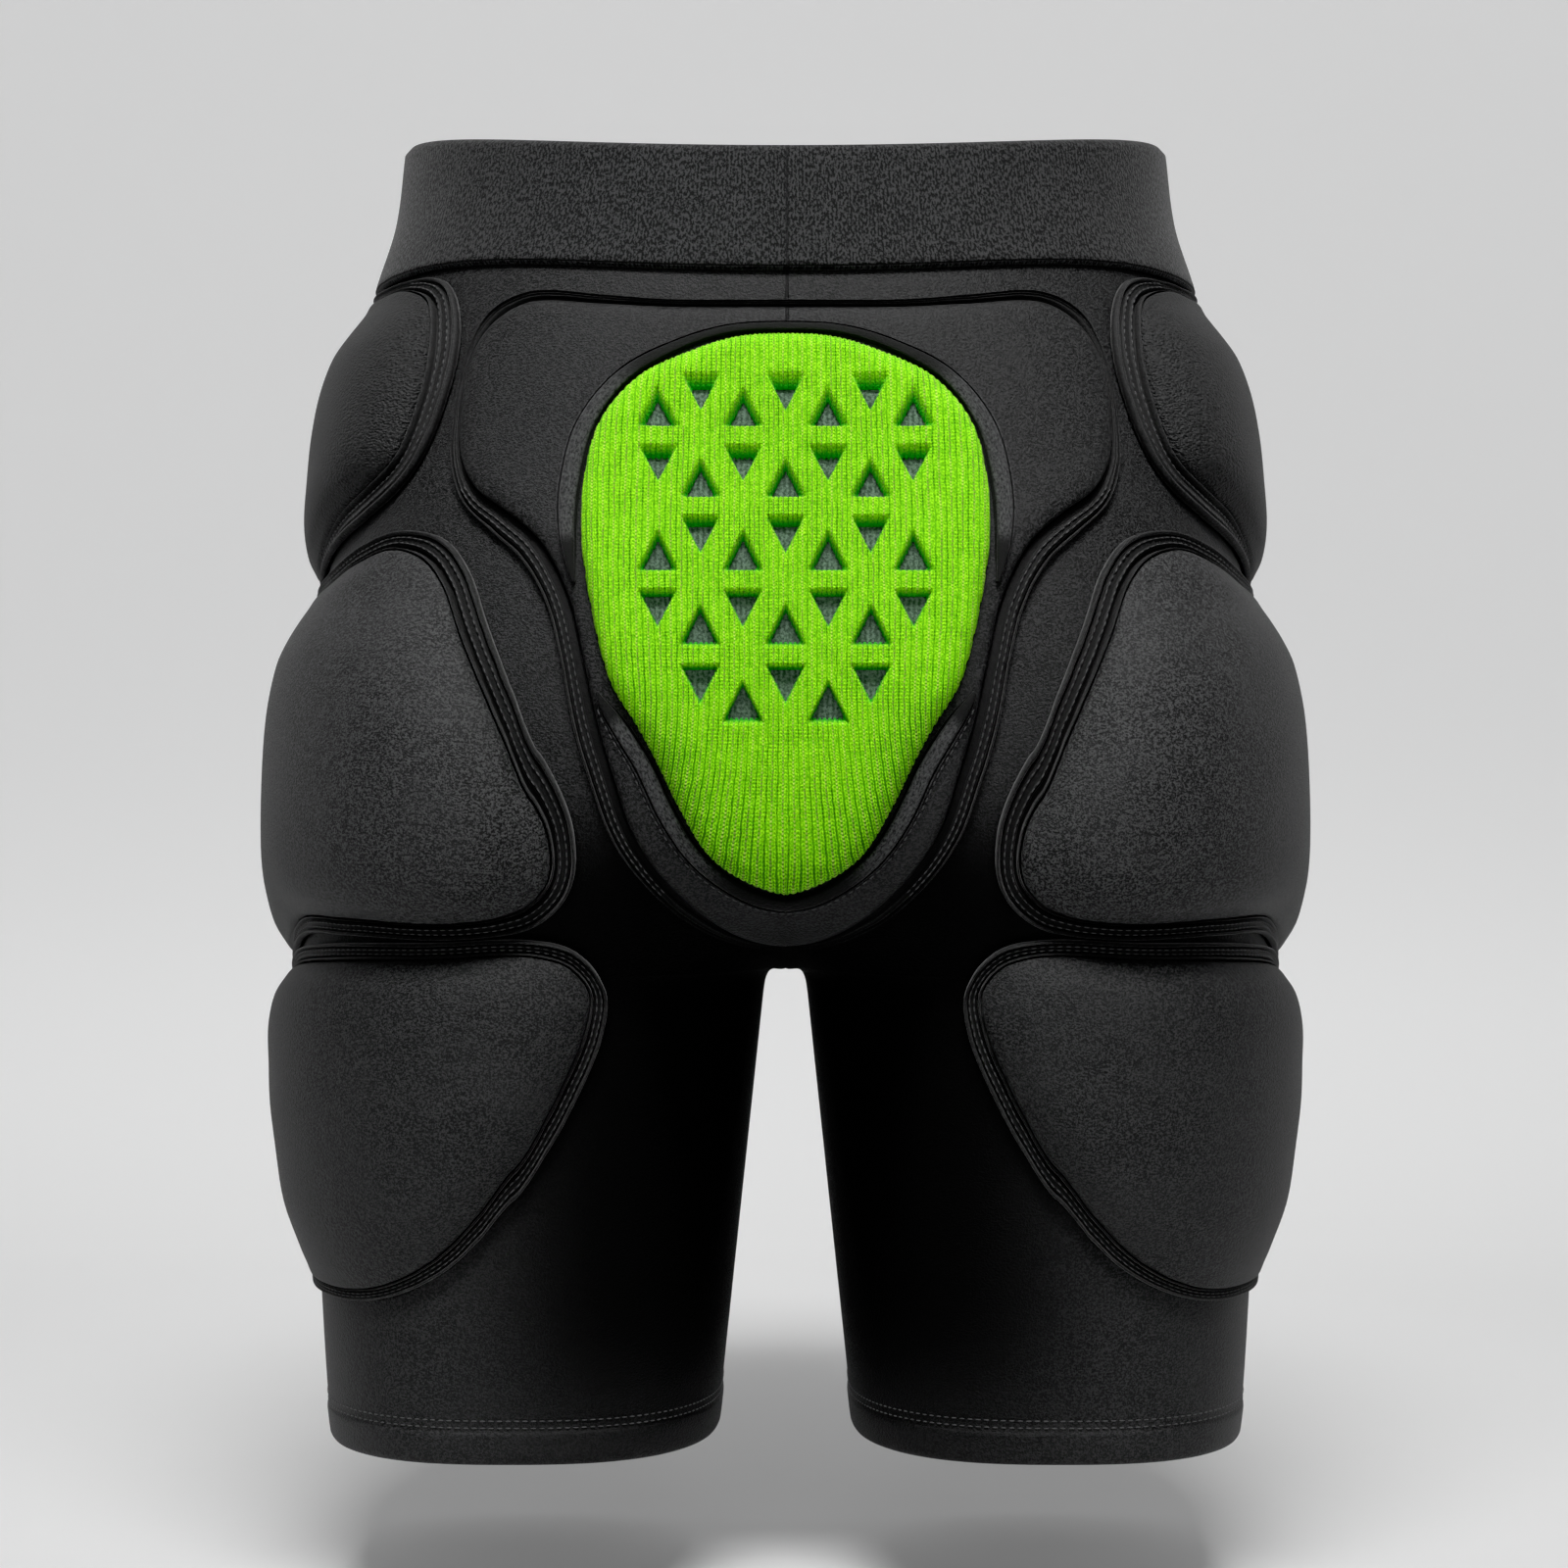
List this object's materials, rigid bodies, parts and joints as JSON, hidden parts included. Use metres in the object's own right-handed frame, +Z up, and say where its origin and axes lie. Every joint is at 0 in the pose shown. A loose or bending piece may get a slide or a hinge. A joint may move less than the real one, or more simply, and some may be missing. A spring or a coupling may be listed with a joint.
{
  "type": "padded hip protection shorts",
  "caption": "Close-fitting shorts with domed foam pads sewn over the hips and thighs and a vented tail pad, worn to soften falls.",
  "frame": {"origin": "centre of the waist opening, at half the height of the waistband at the sides: the mount waist", "axes": "+Z up, +Y towards the wearer's front, +X towards the wearer's right, which is the picture's right"},
  "size_m": [0.3638, 0.2467, 0.4462],
  "materials": {
    "cloth": "matt black stretch jersey",
    "band": "black knitted elastic",
    "yoke": "matt black laminated jersey",
    "welt": "black binding, stitched",
    "rim_tape": "dark grey woven tape",
    "core_foam": "dark green closed-cell foam, matt",
    "cover_knit": "lime green knit",
    "pad_cover": "matt black jersey over foam"
  },
  "bodies": {
    "root": {"shorts_shell": "cloth", "waistband": "band", "yoke_panel": "yoke", "yoke_border": "welt", "tail_rim_upper": "rim_tape", "tail_rim_lower": "rim_tape", "tail_core": "core_foam", "tail_cover": "cover_knit", "hip_pad_left": "pad_cover", "hip_border_left": "welt", "hip_pad_right": "pad_cover", "hip_border_right": "welt", "thigh_pad_left": "pad_cover", "thigh_border_left": "welt", "thigh_pad_right": "pad_cover", "thigh_border_right": "welt", "leg_pad_left": "pad_cover", "leg_border_left": "welt", "leg_pad_right": "pad_cover", "leg_border_right": "welt"}
  },
  "joints": []
}
